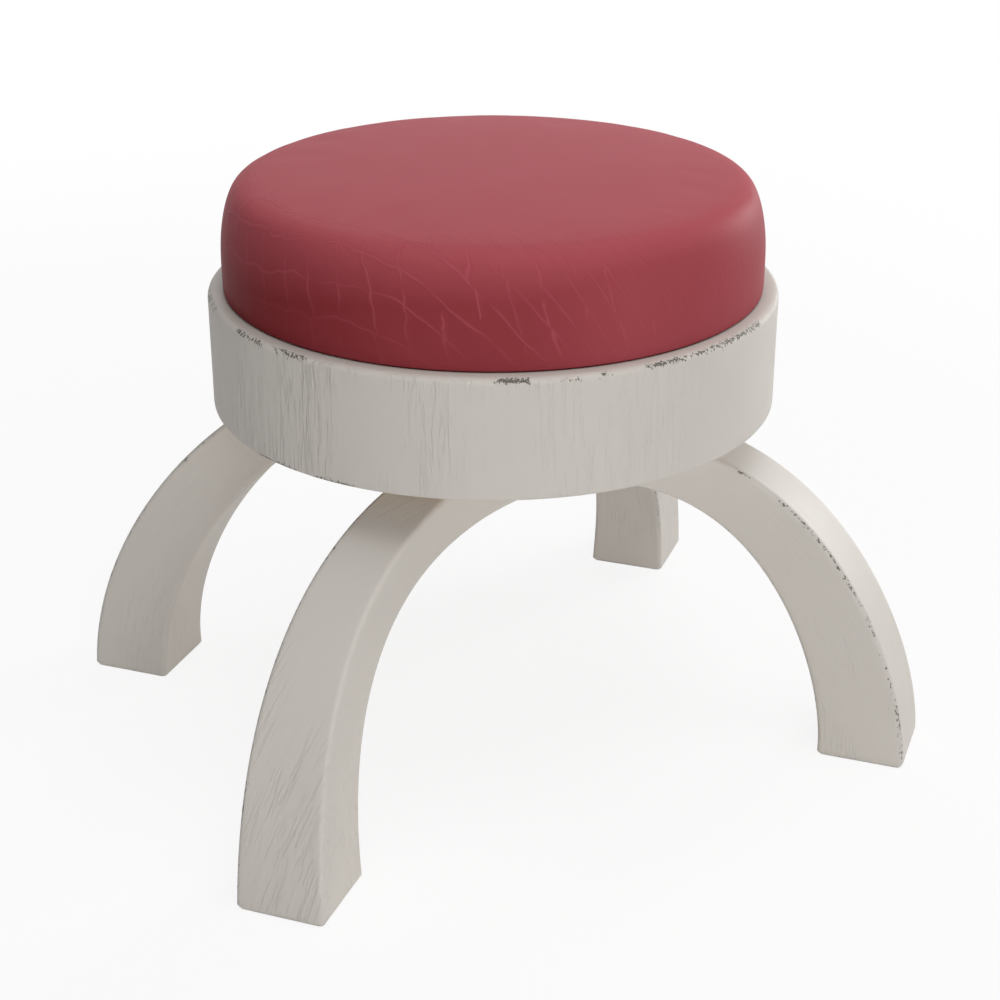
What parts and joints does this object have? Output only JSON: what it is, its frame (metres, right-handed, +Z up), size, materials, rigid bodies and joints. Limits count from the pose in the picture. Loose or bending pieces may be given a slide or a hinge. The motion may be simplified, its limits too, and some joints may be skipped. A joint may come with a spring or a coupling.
{
  "type": "stool",
  "caption": "Low round stool with a stuffed leather cushion in a painted wooden hoop, carried on arched, tapering legs that meet under the seat.",
  "frame": {"origin": "on the floor, under the middle of the seat", "axes": "+Z up, +X towards the right leg and +Y towards the back leg, as seen by someone who faces the stool"},
  "size_m": [0.5598, 0.5598, 0.3739],
  "materials": {
    "painted_wood": "satin",
    "leather": "satin",
    "foam": "matte",
    "plywood": "matte",
    "bare_wood": "matte",
    "steel": "satin"
  },
  "bodies": {
    "root": {"leg_right": "painted_wood", "leg_front": "painted_wood", "leg_left": "painted_wood", "leg_back": "painted_wood", "seat_hoop": "painted_wood", "cushion_cover": "leather", "foam_pad": "foam", "base_board": "plywood", "cushion_board": "plywood", "hoop_block_1": "bare_wood", "hoop_block_2": "bare_wood", "hoop_block_3": "bare_wood", "hoop_block_4": "bare_wood", "crown_dowels": "bare_wood", "leg_screws": "steel", "cushion_bolts": "steel", "bolt_washers": "steel", "cushion_tee_nuts": "steel", "cover_staples": "steel"}
  },
  "joints": []
}
